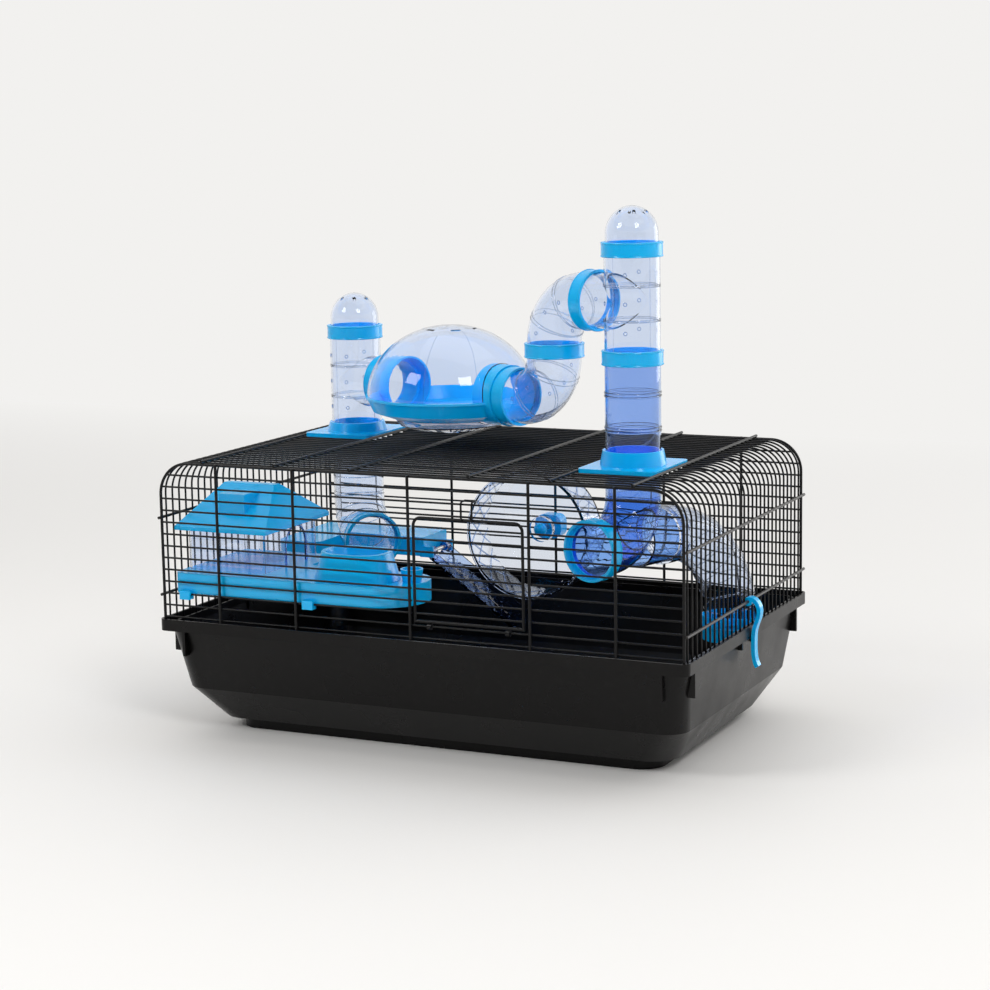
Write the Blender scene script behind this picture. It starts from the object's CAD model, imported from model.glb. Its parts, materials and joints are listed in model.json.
"""Finishes and small moulded details of a wire hamster cage on a black tray."""

import json
import math

import bmesh
import bpy
from bpy.props import FloatProperty, FloatVectorProperty, IntProperty, PointerProperty
from bpy.types import Operator, Panel, PropertyGroup
from mathutils import Matrix, Vector

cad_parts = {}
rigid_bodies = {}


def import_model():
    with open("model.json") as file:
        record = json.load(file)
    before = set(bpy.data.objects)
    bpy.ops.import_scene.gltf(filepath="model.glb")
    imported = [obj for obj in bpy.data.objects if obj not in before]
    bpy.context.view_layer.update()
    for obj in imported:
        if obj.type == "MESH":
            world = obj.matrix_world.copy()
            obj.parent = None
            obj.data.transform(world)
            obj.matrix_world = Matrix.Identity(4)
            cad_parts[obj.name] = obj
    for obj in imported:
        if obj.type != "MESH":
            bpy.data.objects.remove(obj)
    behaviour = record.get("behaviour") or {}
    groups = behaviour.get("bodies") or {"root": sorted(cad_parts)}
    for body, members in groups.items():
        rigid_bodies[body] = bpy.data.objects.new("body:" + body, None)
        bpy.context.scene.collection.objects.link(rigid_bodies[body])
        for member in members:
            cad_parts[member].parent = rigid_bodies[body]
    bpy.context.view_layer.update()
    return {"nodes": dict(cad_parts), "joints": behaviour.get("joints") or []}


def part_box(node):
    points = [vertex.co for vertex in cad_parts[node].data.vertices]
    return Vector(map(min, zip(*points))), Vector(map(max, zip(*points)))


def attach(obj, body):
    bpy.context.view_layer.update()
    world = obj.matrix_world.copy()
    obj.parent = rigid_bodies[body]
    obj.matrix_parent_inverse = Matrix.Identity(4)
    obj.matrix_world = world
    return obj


bl_info = {
    "name": "Hamster Cage",
    "version": (1, 0, 0),
    "blender": (4, 5, 0),
    "location": "3D View > Sidebar > Hamster Cage",
    "description": "Finishes and moulded details of a wire hamster cage with a tube run",
    "category": "Add Mesh",
}

for leftover in list(bpy.data.objects):
    bpy.data.objects.remove(leftover)
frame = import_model()
NODES = frame["nodes"]

MM = 0.001
UP = Vector((0, 0, 1))
QUARTER = math.pi / 2
RAMP_SLOPE = math.radians(35.5)
SIDE_BARS_FROM = 286.3 * MM
DOOR_ARCH_SPRING = 191 * MM
DOOR_ARCH_RADIUS = 21 * MM
DOOR_OFF_MIDDLE = 10 * MM
TEE_BEADS = (-17.5 * MM, -15.9 * MM, 15.9 * MM, 17.5 * MM)
BRIDGE_BEADS = (20, 24, 62, 66)
FOOT_ELBOW_BEADS = (6, 35, 64)
DOWN_TUBE_BEADS = (0.25, 0.5, 0.75)
SEAM_WIDTH, SEAM_HEIGHT, SEAM_MARGIN = 0.7 * MM, 0.5 * MM, 4 * MM
AIR_HOLE_LEVELS = (-28 * MM, 0.0, 28 * MM)
AIR_HOLE_TURNS = (62, 118, -62, -118)
BRIDGE_HOLE_TURNS = (15, 43, 75)
LATTICE_LEAN = 0.75
WHEEL_WALL = 4.2 * MM
DOME_SEAM_TURNS = (62, 118, 242, 298)

# name, place in metres, width and height in metres, watts
LAMPS = (("key_left", (-1.5, -2.0, 2.0), (0.9, 0.9), 25),
         ("key_right", (1.9, -1.7, 2.1), (0.9, 0.9), 27),
         ("overhead", (0.0, 0.4, 2.6), (2.6, 2.0), 12),
         ("back_right", (1.35, 1.9, 0.55), (1.2, 0.9), 9))
LAMP_TARGET = Vector((0, 0, 0.2))
CAMERA_SPOT = Vector((1.02955, -2.18071, 0.63060))
CAMERA_TARGET = Vector((0.00988, 0.0, 0.24015))
CAMERA_LENS = 85.3
CAMERA_ROLL = math.radians(-0.96)

OPAQUE_BLUE = (
    "right_riser_ring", "right_branch_ring", "left_branch_ring", "bridge_drop_ring",
    "nest_port_ring", "right_mouth_ring", "left_mouth_ring", "slide_foot_ring",
    "left_cap_ring", "right_cap_ring", "left_roof_plate", "right_roof_plate",
    "nest_dish", "front_shelf", "back_platform", "house_roof", "food_bowl", "treat_cup",
    "left_clip_lever", "right_clip_lever", "wheel_bracket", "wheel_knob",
)
CLEAR = (
    "left_tee", "right_tee", "upper_elbow", "lower_elbow", "left_down_tube",
    "left_lower_elbow", "slide_tube", "nest_cup", "nest_dome", "left_cap_dome",
    "right_cap_dome", "house_walls", "wheel_drum", "slide_top_ring",
)
TINTED = ("right_riser_tube", "right_down_tube", "ramp_deck")
DEEP_BLUE = ("right_lower_elbow",)
UPRIGHT_RINGS = (("right_riser_ring", "wire_top"), ("bridge_drop_ring", "wire_top"),
                 ("left_cap_ring", "left_cap"), ("right_cap_ring", "right_cap"))
BLACK_WIRES = ("front_panel", "back_panel", "roof_wires", "door_frame", "door_latch",
               "left_end_wires", "right_end_wires")
STEEL = ("wheel_axle", "ramp_pin")


def srgb(code):
    """Linear RGB of an sRGB hex value."""
    code = code.lstrip("#")
    channels = []
    for start in (0, 2, 4):
        value = int(code[start:start + 2], 16) / 255
        channels.append(value / 12.92 if value <= 0.04045 else ((value + 0.055) / 1.055) ** 2.4)
    return tuple(channels)


# ------------------------------------------------------------------ what a user may change

class CageColours(PropertyGroup):
    """Colours of the cage's plastics and wires."""

    tray: FloatVectorProperty(name="Tray", description="Black polypropylene of the tray",
                              subtype="COLOR", min=0, max=1, default=srgb("#070606"))
    wire: FloatVectorProperty(name="Wire", description="Powder coat on the cage wires",
                              subtype="COLOR", min=0, max=1, default=srgb("#060607"))
    side_bar: FloatVectorProperty(name="Side bar", description="Thinner coat on the side bars",
                                  subtype="COLOR", min=0, max=1, default=srgb("#2b2928"))
    blue: FloatVectorProperty(name="Blue", description="Opaque blue mouldings",
                              subtype="COLOR", min=0, max=1, default=srgb("#00bcff"))
    clear: FloatVectorProperty(name="Clear", description="Clear mouldings, faintly blue",
                               subtype="COLOR", min=0, max=1, default=srgb("#ecf3ff"))
    tinted: FloatVectorProperty(name="Tinted", description="Blue-tinted clear mouldings",
                                subtype="COLOR", min=0, max=1, default=srgb("#bcd3f9"))
    deep: FloatVectorProperty(name="Deep blue", description="Strongly tinted clear mouldings",
                              subtype="COLOR", min=0, max=1, default=srgb("#86b4f7"))
    floor: FloatVectorProperty(name="Floor", description="Pale floor",
                               subtype="COLOR", min=0, max=1, default=srgb("#f2f1ef"))


class CageSizes(PropertyGroup):
    """Sizes of the details added to the mouldings."""

    tube_radius: FloatProperty(name="Tube radius", description="Outside radius of the tubes",
                               unit="LENGTH", default=27.5 * MM)
    tube_bore: FloatProperty(name="Tube bore", description="Inside radius of the tubes",
                             unit="LENGTH", default=25.5 * MM)
    elbow_radius: FloatProperty(name="Elbow radius", description="Bend radius of the elbows",
                                unit="LENGTH", default=45 * MM)
    slide_radius: FloatProperty(name="Slide radius", description="Bend radius of the slide",
                                unit="LENGTH", default=112 * MM)
    bead: FloatProperty(name="Bead", description="Radius of a moulded bead round a tube",
                        unit="LENGTH", default=0.55 * MM)
    ring_lip: FloatProperty(name="Ring lip", description="Radius of the lip at a ring's end",
                            unit="LENGTH", default=0.9 * MM)
    air_hole: FloatProperty(name="Air hole", description="Radius of the rim of an air hole",
                            unit="LENGTH", default=1.7 * MM)
    lattice_bars: IntProperty(name="Lattice bars", description="Bars each way round the wheel",
                              min=8, max=60, default=18)
    grip_ribs: IntProperty(name="Grip ribs", description="Ribs round the slide's bottom ring",
                           min=12, max=90, default=54)


# ------------------------------------------------------------------ materials

def add_node(tree, kind, values=None, links=None, **settings):
    """Add a node with its properties, socket values and incoming links."""
    node = tree.nodes.new(kind)
    for name, value in settings.items():
        setattr(node, name, value)
    for socket, value in (values or {}).items():
        node.inputs[socket].default_value = value
    for socket, source in (links or {}).items():
        tree.links.new(source, node.inputs[socket])
    return node


def new_material(name):
    material = bpy.data.materials.new(name)
    material.use_nodes = True
    material.node_tree.nodes.clear()
    return material, material.node_tree


def noise_on_object(tree, feature, detail=3.0):
    """Noise whose features are about the given size in metres, on Object coordinates."""
    place = add_node(tree, "ShaderNodeTexCoord")
    return add_node(tree, "ShaderNodeTexNoise", {"Scale": 1 / feature, "Detail": detail},
                    {"Vector": place.outputs["Object"]})


def spread(tree, source, low, high):
    """Map a noise to a range of values."""
    return add_node(tree, "ShaderNodeMapRange",
                    {"From Min": 0.3, "From Max": 0.7, "To Min": low, "To Max": high},
                    {"Value": source.outputs["Fac"]})


def moulded_black(colour):
    """Injection-moulded polypropylene: waxy, spark-eroded skin with faint flow marks."""
    material, tree = new_material("polypropylene_black")
    flow = noise_on_object(tree, 45 * MM)
    skin = noise_on_object(tree, 1.6 * MM, 2.0)
    bump = add_node(tree, "ShaderNodeBump", {"Strength": 0.22, "Distance": 0.12 * MM},
                    {"Height": skin.outputs["Fac"]})
    scuffs = noise_on_object(tree, 9 * MM, 6.0)
    tone = add_node(tree, "ShaderNodeMapRange",
                    {"From Min": 0.55, "From Max": 0.8, "To Min": 0.0, "To Max": 0.35},
                    {"Value": scuffs.outputs["Fac"]})
    blend = add_node(tree, "ShaderNodeMix", {6: (*colour, 1), 7: (*srgb("#1a1918"), 1)},
                     {0: tone.outputs["Result"]}, data_type="RGBA")
    shader = add_node(tree, "ShaderNodeBsdfPrincipled", {"IOR": 1.49, "Specular IOR Level": 0.22},
                      {"Base Color": blend.outputs[2],
                       "Roughness": spread(tree, flow, 0.24, 0.36).outputs["Result"],
                       "Normal": bump.outputs["Normal"]})
    add_node(tree, "ShaderNodeOutputMaterial", None, {"Surface": shader.outputs["BSDF"]})
    return material


def coated_wire(colour, bar_colour):
    """Powder-coated steel wire; the side bars outside the ends have a thinner, greyer coat."""
    material, tree = new_material("powder_coat_black")
    place = add_node(tree, "ShaderNodeTexCoord")
    split = add_node(tree, "ShaderNodeSeparateXYZ", None, {"Vector": place.outputs["Object"]})
    reach = add_node(tree, "ShaderNodeMath", None, {0: split.outputs["X"]}, operation="ABSOLUTE")
    outside = add_node(tree, "ShaderNodeMath", {1: SIDE_BARS_FROM}, {0: reach.outputs[0]},
                       operation="GREATER_THAN")
    blend = add_node(tree, "ShaderNodeMix", {6: (*colour, 1), 7: (*bar_colour, 1)},
                     {0: outside.outputs[0]}, data_type="RGBA")
    orange_peel = noise_on_object(tree, 2.2 * MM)
    bump = add_node(tree, "ShaderNodeBump", {"Strength": 0.15, "Distance": 0.1 * MM},
                    {"Height": orange_peel.outputs["Fac"]})
    shader = add_node(tree, "ShaderNodeBsdfPrincipled", {"IOR": 1.5, "Specular IOR Level": 0.28},
                      {"Base Color": blend.outputs[2],
                       "Roughness": spread(tree, orange_peel, 0.3, 0.42).outputs["Result"],
                       "Normal": bump.outputs["Normal"]})
    add_node(tree, "ShaderNodeOutputMaterial", None, {"Surface": shader.outputs["BSDF"]})
    return material


def bright_steel():
    """Drawn steel pin, faintly streaked."""
    material, tree = new_material("drawn_steel")
    streaks = noise_on_object(tree, 1.5 * MM)
    shader = add_node(tree, "ShaderNodeBsdfPrincipled",
                      {"Base Color": (*srgb("#b9b7b3"), 1), "Metallic": 1.0},
                      {"Roughness": spread(tree, streaks, 0.22, 0.4).outputs["Result"]})
    add_node(tree, "ShaderNodeOutputMaterial", None, {"Surface": shader.outputs["BSDF"]})
    return material


def opaque_blue(colour):
    """Glossy moulded polystyrene: bright, a little light carries inside it."""
    material, tree = new_material("polystyrene_blue")
    flow = noise_on_object(tree, 30 * MM)
    ripple = noise_on_object(tree, 6 * MM, 1.0)
    bump = add_node(tree, "ShaderNodeBump", {"Strength": 0.06, "Distance": 0.15 * MM},
                    {"Height": ripple.outputs["Fac"]})
    edges = add_node(tree, "ShaderNodeBevel", {"Radius": 0.6 * MM},
                     {"Normal": bump.outputs["Normal"]}, samples=3)
    shader = add_node(tree, "ShaderNodeBsdfPrincipled",
                      {"Base Color": (*colour, 1), "IOR": 1.5, "Coat Weight": 0.06,
                       "Coat Roughness": 0.08, "Subsurface Weight": 0.2,
                       "Subsurface Radius": (0.3, 0.7, 1.0), "Subsurface Scale": 3 * MM},
                      {"Roughness": spread(tree, flow, 0.16, 0.26).outputs["Result"],
                       "Normal": edges.outputs["Normal"]})
    add_node(tree, "ShaderNodeOutputMaterial", None, {"Surface": shader.outputs["BSDF"]})
    return material


def clear_plastic(name, colour, lamp_tint):
    """Clear moulded polystyrene that lets lamps through to what is inside it."""
    material, tree = new_material(name)
    ripple = noise_on_object(tree, 14 * MM, 1.0)
    bump = add_node(tree, "ShaderNodeBump", {"Strength": 0.05, "Distance": 0.2 * MM},
                    {"Height": ripple.outputs["Fac"]})
    shader = add_node(tree, "ShaderNodeBsdfPrincipled",
                      {"Base Color": (*colour, 1), "IOR": 1.45, "Transmission Weight": 1.0},
                      {"Roughness": spread(tree, ripple, 0.01, 0.035).outputs["Result"],
                       "Normal": bump.outputs["Normal"]})
    through = add_node(tree, "ShaderNodeBsdfTransparent", {"Color": (*lamp_tint, 1)})
    path = add_node(tree, "ShaderNodeLightPath")
    mix = add_node(tree, "ShaderNodeMixShader", None,
                   {0: path.outputs["Is Shadow Ray"], 1: shader.outputs["BSDF"],
                    2: through.outputs["BSDF"]})
    add_node(tree, "ShaderNodeOutputMaterial", None, {"Surface": mix.outputs["Shader"]})
    return material


def pale_floor(colour):
    """Seamless paper sweep: matt on the floor, and lit from behind where it rises."""
    material, tree = new_material("paper_sweep")
    tooth = noise_on_object(tree, 4 * MM)
    place = add_node(tree, "ShaderNodeTexCoord")
    split = add_node(tree, "ShaderNodeSeparateXYZ", None, {"Vector": place.outputs["Object"]})
    behind = add_node(tree, "ShaderNodeMapRange",
                      {"From Min": 0.3, "From Max": 2.2, "To Min": 0.0, "To Max": 1.0},
                      {"Value": split.outputs["Y"]})
    shader = add_node(tree, "ShaderNodeBsdfPrincipled",
                      {"Base Color": (*colour, 1), "Specular IOR Level": 0.25},
                      {"Roughness": spread(tree, tooth, 0.55, 0.65).outputs["Result"]})
    glow = add_node(tree, "ShaderNodeEmission", {"Color": (*colour, 1), "Strength": 1.0})
    mix = add_node(tree, "ShaderNodeMixShader", None,
                   {0: behind.outputs["Result"], 1: shader.outputs["BSDF"],
                    2: glow.outputs["Emission"]})
    add_node(tree, "ShaderNodeOutputMaterial", None, {"Surface": mix.outputs["Shader"]})
    return material


def dress(names, material):
    """Give CAD nodes their material."""
    for name in names:
        mesh = NODES[name].data
        mesh.materials.clear()
        mesh.materials.append(material)


# ------------------------------------------------------------------ mesh helpers

def mesh_from(name, shaped):
    """Mesh of a bmesh, with its normals outward and its shading smooth up to an edge."""
    bmesh.ops.remove_doubles(shaped, verts=shaped.verts, dist=1e-6)
    bmesh.ops.recalc_face_normals(shaped, faces=shaped.faces)
    mesh = bpy.data.meshes.new(name)
    shaped.to_mesh(mesh)
    shaped.free()
    for face in mesh.polygons:
        face.use_smooth = True
    mesh.set_sharp_from_angle(angle=math.radians(40))
    return mesh


def hoop(major, minor, sides=8, steps=56, angle=2 * math.pi):
    """Ring of round section about Z, or the part of one that starts on +X."""
    shaped = bmesh.new()
    where = Matrix.Translation((major, 0, 0)) @ Matrix.Rotation(QUARTER, 4, "X")
    whole = angle > 6.28
    bmesh.ops.create_circle(shaped, segments=sides, radius=minor, cap_ends=not whole,
                            matrix=where)
    parts = shaped.verts[:] + shaped.edges[:] + shaped.faces[:]
    bmesh.ops.spin(shaped, geom=parts, cent=(0, 0, 0), axis=(0, 0, 1), angle=angle,
                   steps=steps, use_merge=whole)
    return mesh_from("hoop", shaped)


def bar(length, width, height, cuts=0):
    """Straight bar from the origin along +Y, its foot on z = 0, with cuts along it."""
    shaped = bmesh.new()
    bmesh.ops.create_cube(shaped, size=1.0)
    bmesh.ops.translate(shaped, verts=shaped.verts, vec=(0, 0.5, 0.5))
    bmesh.ops.scale(shaped, verts=shaped.verts, vec=(width, length, height))
    if cuts:
        long = [e for e in shaped.edges if abs(e.verts[0].co.y - e.verts[1].co.y) > length / 2]
        bmesh.ops.subdivide_edges(shaped, edges=long, cuts=cuts, use_grid_fill=True)
    return mesh_from("bar", shaped)


def wrap(mesh, move):
    """Move each vertex of a mesh by a rule."""
    for vertex in mesh.vertices:
        vertex.co = move(vertex.co)
    mesh.update()
    return mesh


def piece(name, copies, material, body):
    """One piece from placed copies of small meshes, riding on a CAD body."""
    joined = bmesh.new()
    for mesh, matrix in copies:
        placed = mesh.copy()
        placed.transform(matrix)
        joined.from_mesh(placed)
        bpy.data.meshes.remove(placed)
    mesh = mesh_from(name, joined)
    mesh.materials.append(material)
    item = bpy.data.objects.new(name, mesh)
    bpy.context.scene.collection.objects.link(item)
    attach(item, body)
    return item


def middle(node):
    low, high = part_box(node)
    return (low + high) / 2


def facing(x, z):
    """Turn that points Z along a direction in the XZ plane."""
    return Matrix.Rotation(math.atan2(x, z), 4, "Y")


def stand(point, way):
    """Frame on a tower's axis whose X runs towards a way in plan."""
    return Matrix.Translation((point.x, point.y, 0)) @ Matrix.Rotation(way, 4, "Z")


def towers():
    """Axes of the towers, the way from right to left, and the frames of the run."""
    right, left = middle("right_riser_ring"), middle("left_cap_ring")
    run = math.atan2(left.y - right.y, left.x - right.x)
    return right, left, run


def heading(node, tower):
    """Direction in plan from a tower's axis to a node."""
    spot = middle(node)
    return math.atan2(spot.y - tower.y, spot.x - tower.x)


# ------------------------------------------------------------------ operators

class CAGE_OT_tray(Operator):
    """Black tray: waxy moulded skin"""

    bl_idname = "cage.tray"
    bl_label = "Tray"

    def execute(self, context):
        dress(("base_tray",), moulded_black(tuple(context.scene.cage_colours.tray)))
        return {"FINISHED"}


class CAGE_OT_wires(Operator):
    """Wire top, door and pins"""

    bl_idname = "cage.wires"
    bl_label = "Wires and Pins"

    def execute(self, context):
        colours = context.scene.cage_colours
        dress(BLACK_WIRES, coated_wire(tuple(colours.wire), tuple(colours.side_bar)))
        dress(STEEL, bright_steel())
        return {"FINISHED"}


class CAGE_OT_plastics(Operator):
    """Finishes of the blue and the clear mouldings"""

    bl_idname = "cage.plastics"
    bl_label = "Blue and Clear Mouldings"

    def execute(self, context):
        colours = context.scene.cage_colours
        dress(OPAQUE_BLUE, opaque_blue(tuple(colours.blue)))
        dress(CLEAR, clear_plastic("polystyrene_clear", tuple(colours.clear), (0.9, 0.92, 1.0)))
        dress(TINTED, clear_plastic("polystyrene_tinted", tuple(colours.tinted),
                                    (0.7, 0.8, 1.0)))
        dress(DEEP_BLUE, clear_plastic("polystyrene_deep_blue", tuple(colours.deep),
                                       (0.4, 0.6, 1.0)))
        return {"FINISHED"}


class CAGE_OT_tube_beads(Operator):
    """Moulded beads and seams on the clear tubes"""

    bl_idname = "cage.tube_beads"
    bl_label = "Tube Beads"

    def execute(self, context):
        sizes = context.scene.cage_sizes
        ring = hoop(sizes.tube_radius - 0.1 * MM, sizes.bead)
        right, left, run = towers()
        chain = stand(right, run)
        span = math.hypot(left.x - right.x, left.y - right.y)
        bend = sizes.elbow_radius
        beads, seams = [], []
        branches = ((0.0, middle("right_branch_ring").z), (span, middle("left_branch_ring").z))
        for along, level in branches:
            for step in TEE_BEADS:
                beads.append((ring, chain @ Matrix.Translation((along, 0, level + step))))
        high = branches[0][1]
        drop = math.hypot(middle("bridge_drop_ring").x - right.x,
                          middle("bridge_drop_ring").y - right.y)
        low = branches[1][1]
        for turned in BRIDGE_BEADS:
            angle = math.radians(turned)
            x, z = math.sin(angle), math.cos(angle)
            over = Matrix.Translation((drop - bend + bend * x, 0, high - bend + bend * z))
            beads.append((ring, chain @ over @ facing(z, -x)))
            under = Matrix.Translation((drop + bend - bend * z, 0, low + bend - bend * x))
            beads.append((ring, chain @ under @ facing(x, -z)))
        for side, tower in (("right", right), ("left", left)):
            mouth = side + "_mouth_ring"
            frame_here = stand(tower, heading(mouth, tower))
            level = middle(mouth).z
            for turned in FOOT_ELBOW_BEADS:
                angle = math.radians(turned)
                x, z = math.sin(angle), math.cos(angle)
                under = Matrix.Translation((bend - bend * z, 0, level + bend - bend * x))
                beads.append((ring, frame_here @ under @ facing(x, -z)))
            foot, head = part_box(side + "_down_tube")
            for step in DOWN_TUBE_BEADS:
                height = foot.z + (head.z - foot.z) * step
                beads.append((ring, frame_here @ Matrix.Translation((0, 0, height))))
        slide = stand(right, heading("slide_foot_ring", right))
        start = (middle("slide_top_ring").xy - right.xy).length + 0.6 * MM
        level = middle("slide_top_ring").z
        curve = sizes.slide_radius
        for turned in range(6, 90, 12):
            angle = math.radians(turned)
            x, z = math.sin(angle), math.cos(angle)
            over = Matrix.Translation((start + curve * x, 0, level - curve + curve * z))
            beads.append((ring, slide @ over @ facing(z, -x)))
        for node, along in (("right_tee", 0.0), ("left_tee", span)):
            foot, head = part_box(node)
            seam = bar(head.z - foot.z - 2 * SEAM_MARGIN, SEAM_WIDTH, SEAM_HEIGHT)
            for way in (-1, 1):
                start = (along, way * sizes.tube_radius, foot.z + SEAM_MARGIN)
                upright = (Matrix.Translation(start)
                           @ Matrix.Rotation(QUARTER, 4, "X"))
                if way < 0:
                    upright = upright @ Matrix.Rotation(math.pi, 4, "Y")
                seams.append((seam, chain @ upright))
        clear = bpy.data.materials["polystyrene_clear"]
        piece("tube_beads", beads, clear, "wire_top")
        piece("tee_seams", seams, clear, "wire_top")
        return {"FINISHED"}


class CAGE_OT_ring_lips(Operator):
    """Rolled lips at both ends of the blue rings that join the tubes"""

    bl_idname = "cage.ring_lips"
    bl_label = "Ring Lips"

    def execute(self, context):
        lip = context.scene.cage_sizes.ring_lip
        right, left, run = towers()
        lips = {"wire_top": [], "left_cap": [], "right_cap": []}
        for node, body in UPRIGHT_RINGS:
            low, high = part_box(node)
            spot = (low + high) / 2
            ring = hoop((high.x - low.x) / 2 - 0.3 * lip, lip)
            for level in (low.z + lip, high.z - lip):
                lips[body].append((ring, Matrix.Translation((spot.x, spot.y, level))))
        lying = (("right_branch_ring", run), ("left_branch_ring", run),
                 ("right_mouth_ring", heading("right_mouth_ring", right)),
                 ("left_mouth_ring", heading("left_mouth_ring", left)))
        for node, way in lying:
            low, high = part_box(node)
            spot, radius = (low + high) / 2, (high.z - low.z) / 2
            if abs(math.cos(way)) > abs(math.sin(way)):
                width = (high.x - low.x - 2 * radius * abs(math.sin(way))) / abs(math.cos(way))
            else:
                width = (high.y - low.y - 2 * radius * abs(math.cos(way))) / abs(math.sin(way))
            ring = hoop(radius - 0.3 * lip, lip)
            here = Matrix.Translation(spot) @ Matrix.Rotation(way, 4, "Z")
            for reach in (lip - width / 2, width / 2 - lip):
                turned = here @ Matrix.Translation((reach, 0, 0)) @ facing(1, 0)
                lips["wire_top"].append((ring, turned))
        blue = bpy.data.materials["polystyrene_blue"]
        for body, copies in lips.items():
            piece(body + "_ring_lips", copies, blue, body)
        return {"FINISHED"}


class CAGE_OT_air_holes(Operator):
    """Rims of the small air holes in the tees and elbows"""

    bl_idname = "cage.air_holes"
    bl_label = "Air Holes"

    def execute(self, context):
        sizes = context.scene.cage_sizes
        rim = hoop(sizes.air_hole, 0.45 * MM, sides=6, steps=16)
        right, left, run = towers()
        rims = []
        for tower, level in ((right, middle("right_branch_ring").z),
                             (left, middle("left_branch_ring").z)):
            for step in AIR_HOLE_LEVELS:
                for turned in AIR_HOLE_TURNS:
                    frame_here = stand(tower, run + math.radians(turned))
                    where = Matrix.Translation((sizes.tube_radius, 0, level + step))
                    rims.append((rim, frame_here @ where @ facing(1, 0)))
        bend = sizes.elbow_radius
        drop = (middle("bridge_drop_ring").xy - right.xy).length
        chain = stand(right, run)
        for turned in BRIDGE_HOLE_TURNS:
            angle = math.radians(turned)
            x, z = math.sin(angle), math.cos(angle)
            for side in (-1, 1):
                for corner in ((drop - bend + bend * x, middle("right_branch_ring").z - bend
                                + bend * z),
                               (drop + bend - bend * z, middle("left_branch_ring").z + bend
                                - bend * x)):
                    where = Matrix.Translation((corner[0], side * sizes.tube_radius, corner[1]))
                    rims.append((rim, chain @ where @ Matrix.Rotation(QUARTER, 4, "X")))
        tinted = bpy.data.materials["polystyrene_tinted"]
        piece("air_hole_rims", rims, tinted, "wire_top")
        return {"FINISHED"}


class CAGE_OT_wheel(Operator):
    """Diamond lattice round the wheel"""

    bl_idname = "cage.wheel"
    bl_label = "Wheel Lattice"

    def execute(self, context):
        sizes = context.scene.cage_sizes
        low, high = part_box("wheel_drum")
        hub = (low + high) / 2
        depth = high.y - low.y
        inside = (high.z - low.z) / 2 - WHEEL_WALL
        run = depth - 6 * MM
        count = sizes.lattice_bars
        bars = []
        for lean in (-1, 1):
            for index in range(count):
                start = 2 * math.pi * index / count

                def bend(co, start=start, lean=lean):
                    around = start + (co.x + lean * co.y * LATTICE_LEAN) / inside
                    reach = inside - co.z + 1.4 * MM
                    return Vector((math.sin(around) * reach, co.y, math.cos(around) * reach))

                bars.append((wrap(bar(run, 1.5 * MM, 1.1 * MM, cuts=7), bend),
                             Matrix.Translation((hub.x, low.y + 3.5 * MM, hub.z))))
        tinted = bpy.data.materials["polystyrene_tinted"]
        piece("wheel_lattice", bars, tinted, "wheel")
        return {"FINISHED"}


class CAGE_OT_ramp(Operator):
    """Crossed ribs on the ramp"""

    bl_idname = "cage.ramp"
    bl_label = "Ramp Ribs"

    def execute(self, context):
        hinge = [j for j in frame["joints"] if j["name"] == "ramp_hinge"][0]
        low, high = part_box("ramp_deck")
        pin = Vector(hinge["pos_m"])
        ribs = []
        wide = high.y - low.y - 4 * MM
        place = (Matrix.Translation((pin.x, low.y + 2 * MM, pin.z))
                 @ Matrix.Rotation(RAMP_SLOPE, 4, "Y"))
        for index in range(9):
            for lean in (-1, 1):
                rib = bar(wide, 0.9 * MM, 0.9 * MM)
                begin = 12 * MM + 11.5 * MM * index
                wrap(rib, lambda co, lean=lean: Vector(
                    (co.x + (co.y - wide / 2) * lean * 0.5, co.y, co.z)))
                ribs.append((rib, place @ Matrix.Translation((begin + 6 * MM, 0, -5.6 * MM))))
        tinted = bpy.data.materials["polystyrene_tinted"]
        piece("ramp_ribs", ribs, tinted, "ramp")
        return {"FINISHED"}


class CAGE_OT_slide_grips(Operator):
    """Grip ribs round the ring at the bottom of the slide"""

    bl_idname = "cage.slide_grips"
    bl_label = "Slide Ring Grips"

    def execute(self, context):
        low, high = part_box("slide_foot_ring")
        hub = (low + high) / 2
        reach = (high.x - low.x) / 2
        rib = bar(high.z - low.z - 2 * MM, 1.5 * MM, 0.9 * MM)
        count = context.scene.cage_sizes.grip_ribs
        ribs = []
        for index in range(count):
            turned = Matrix.Rotation(2 * math.pi * index / count, 4, "Z")
            out = Matrix.Translation((0, reach - 0.2 * MM, 0)) @ Matrix.Rotation(
                -QUARTER, 4, "X") @ Matrix.Rotation(math.pi, 4, "Z")
            foot = Matrix.Translation((hub.x, hub.y, high.z - 1 * MM))
            ribs.append((rib, foot @ turned @ out))
        blue = bpy.data.materials["polystyrene_blue"]
        piece("slide_ring_grips", ribs, blue, "wire_top")
        return {"FINISHED"}


class CAGE_OT_house(Operator):
    """Arched trim round the house door"""

    bl_idname = "cage.house"
    bl_label = "House Door Trim"

    def execute(self, context):
        low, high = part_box("house_walls")
        spring, half = DOOR_ARCH_SPRING, DOOR_ARCH_RADIUS
        centre_y = (low.y + high.y) / 2 + DOOR_OFF_MIDDLE
        arch = hoop(half, 1.0 * MM, sides=8, steps=24, angle=math.pi)
        upright = bar(spring - low.z, 1.8 * MM, 1.8 * MM)
        face = Matrix.Translation((high.x, centre_y, spring))
        turned = Matrix.Rotation(QUARTER, 4, "Z") @ Matrix.Rotation(QUARTER, 4, "X")
        parts = [(arch, face @ turned)]
        for way in (-1, 1):
            foot = Matrix.Translation((high.x + 0.9 * MM, centre_y + way * half, low.z))
            parts.append((upright, foot @ Matrix.Rotation(QUARTER, 4, "X")
                          @ Matrix.Rotation(-QUARTER, 4, "Y")))
        deep = bpy.data.materials["polystyrene_deep_blue"]
        piece("house_door_trim", parts, deep, "wire_top")
        return {"FINISHED"}


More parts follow.
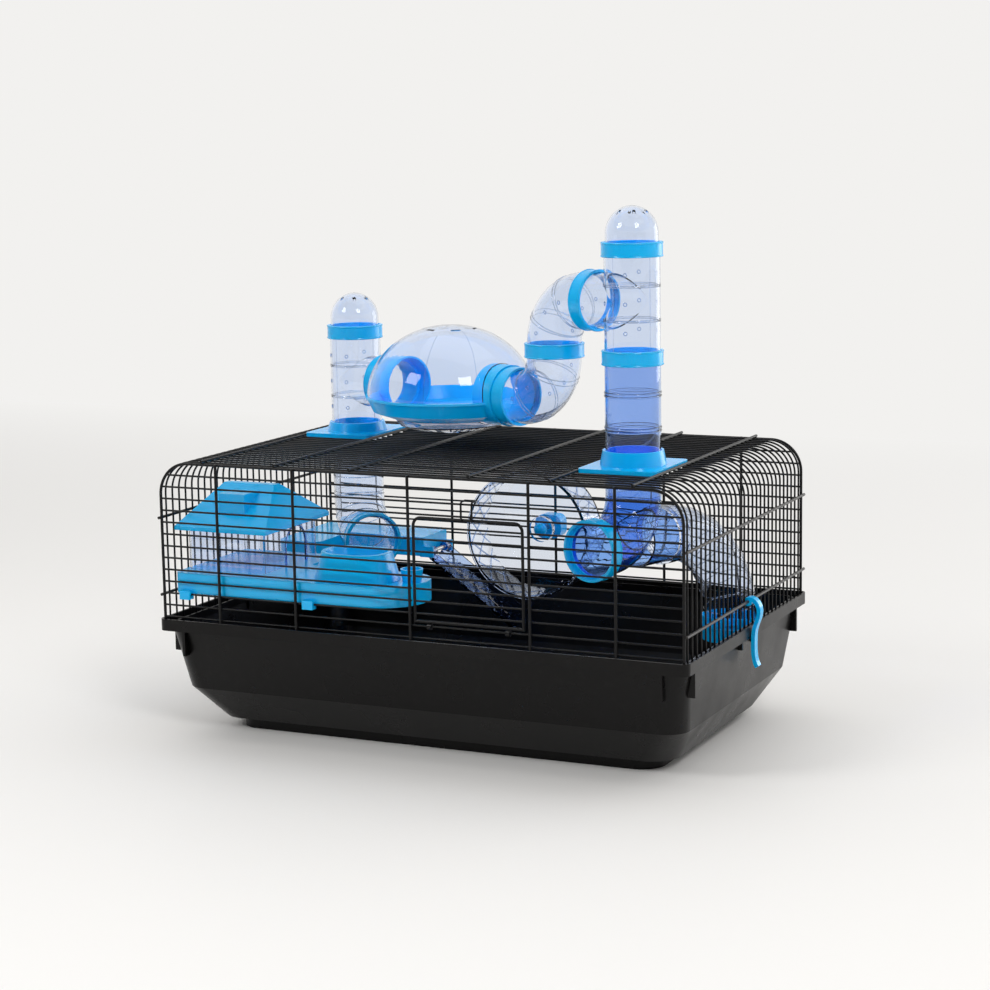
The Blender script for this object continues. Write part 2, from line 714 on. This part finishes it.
class CAGE_OT_dome(Operator):
    """Seams that rise over the nest's clear dome"""

    bl_idname = "cage.dome"
    bl_label = "Dome Seams"

    def execute(self, context):
        low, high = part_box("nest_dome")
        hub = (low + high) / 2
        radius, rise = (high.x - low.x) / 2, high.z - low.z
        _, _, run = towers()
        seams = []
        for turned in DOME_SEAM_TURNS:
            def over(co):
                climb = math.radians(4) + co.y / MM * math.radians(1)
                reach = math.cos(climb) * (radius + co.z - 0.2 * MM)
                return Vector((reach, co.x, math.sin(climb) * (rise + co.z - 0.2 * MM)))

            seam = wrap(bar(58 * MM, 0.8 * MM, 0.5 * MM, cuts=24), over)
            seams.append((seam, Matrix.Translation((hub.x, hub.y, low.z))
                          @ Matrix.Rotation(run + math.radians(turned), 4, "Z")))
        clear = bpy.data.materials["polystyrene_clear"]
        piece("dome_seams", seams, clear, "nest_lid")
        return {"FINISHED"}


class CAGE_OT_stage(Operator):
    """Pale sweep, studio light and the camera"""

    bl_idname = "cage.stage"
    bl_label = "Stage"

    def execute(self, context):
        scene = context.scene
        shaped = bmesh.new()
        bmesh.ops.create_grid(shaped, x_segments=1, y_segments=1, size=9.0)
        bmesh.ops.translate(shaped, verts=shaped.verts, vec=(0, 2.0, 0))
        back = [e for e in shaped.edges if all(v.co.y > 10 for v in e.verts)]
        risen = bmesh.ops.extrude_edge_only(shaped, edges=back)["geom"]
        bmesh.ops.translate(shaped, verts=[g for g in risen if isinstance(g, bmesh.types.BMVert)],
                            vec=(0, 0, 7.0))
        crease = [e for e in shaped.edges if all(abs(v.co.y - 11) < 0.01 and v.co.z < 0.01
                                                 for v in e.verts)]
        bmesh.ops.bevel(shaped, geom=crease, offset=4.0, segments=24, profile=0.5,
                        affect="EDGES", material=-1)
        mesh = bpy.data.meshes.new("sweep")
        shaped.to_mesh(mesh)
        shaped.free()
        for face in mesh.polygons:
            face.use_smooth = True
        mesh.materials.append(pale_floor(tuple(scene.cage_colours.floor)))
        sweep = bpy.data.objects.new("sweep", mesh)
        scene.collection.objects.link(sweep)

        world = bpy.data.worlds.new("studio")
        scene.world = world
        world.use_nodes = True
        tree = world.node_tree
        tree.nodes.clear()
        around = add_node(tree, "ShaderNodeTexCoord")
        split = add_node(tree, "ShaderNodeSeparateXYZ", None, {0: around.outputs["Generated"]})
        fade = add_node(tree, "ShaderNodeMapRange",
                        {"From Min": -0.6, "From Max": 0.3, "To Min": 0.07, "To Max": 0.95},
                        {"Value": split.outputs["Y"]})
        glow = add_node(tree, "ShaderNodeBackground", {"Color": (1.0, 0.985, 0.97, 1)},
                        {"Strength": fade.outputs["Result"]})
        add_node(tree, "ShaderNodeOutputWorld", None, {"Surface": glow.outputs["Background"]})

        for name, spot, extent, power in LAMPS:
            lamp = bpy.data.lights.new(name, "AREA")
            lamp.shape = "RECTANGLE"
            lamp.size, lamp.size_y = extent
            lamp.energy = power
            item = bpy.data.objects.new(name, lamp)
            item.location = spot
            item.rotation_euler = (LAMP_TARGET - item.location).to_track_quat(
                "-Z", "Y").to_euler()
            item.visible_camera = False
            item.visible_transmission = False
            scene.collection.objects.link(item)

        view = bpy.data.cameras.new("front_right")
        view.sensor_width = 36.0
        view.lens = CAMERA_LENS
        view.clip_end = 60.0
        eye = bpy.data.objects.new("front_right", view)
        ahead = (CAMERA_TARGET - CAMERA_SPOT).normalized()
        across = ahead.cross(UP).normalized()
        upward = across.cross(ahead)
        lean = CAMERA_ROLL
        right = across * math.cos(lean) + upward * math.sin(lean)
        up = upward * math.cos(lean) - across * math.sin(lean)
        turned = Matrix((right, up, -ahead)).transposed().to_4x4()
        eye.matrix_world = Matrix.Translation(CAMERA_SPOT) @ turned
        scene.collection.objects.link(eye)
        scene.camera = eye
        scene.view_settings.view_transform = "Standard"
        return {"FINISHED"}


STEPS = (CAGE_OT_tray, CAGE_OT_wires, CAGE_OT_plastics, CAGE_OT_tube_beads,
         CAGE_OT_ring_lips, CAGE_OT_air_holes, CAGE_OT_wheel, CAGE_OT_ramp,
         CAGE_OT_slide_grips, CAGE_OT_house, CAGE_OT_dome, CAGE_OT_stage)


class CAGE_PT_panel(Panel):
    """Lists the cage's pieces"""

    bl_idname = "CAGE_PT_panel"
    bl_label = "Hamster Cage"
    bl_space_type = "VIEW_3D"
    bl_region_type = "UI"
    bl_category = "Hamster Cage"

    def draw(self, context):
        for group in (context.scene.cage_colours, context.scene.cage_sizes):
            for name in group.__annotations__:
                self.layout.prop(group, name)
        for step in STEPS:
            self.layout.operator(step.bl_idname)


CLASSES = (CageColours, CageSizes) + STEPS + (CAGE_PT_panel,)


def register():
    for item in CLASSES:
        bpy.utils.register_class(item)
    bpy.types.Scene.cage_colours = PointerProperty(type=CageColours)
    bpy.types.Scene.cage_sizes = PointerProperty(type=CageSizes)


def unregister():
    del bpy.types.Scene.cage_sizes
    del bpy.types.Scene.cage_colours
    for item in reversed(CLASSES):
        bpy.utils.unregister_class(item)


def main():
    register()
    for step in STEPS:
        group, name = step.bl_idname.split(".")
        getattr(getattr(bpy.ops, group), name)()
    bpy.context.view_layer.update()


if __name__ == "__main__":
    main()
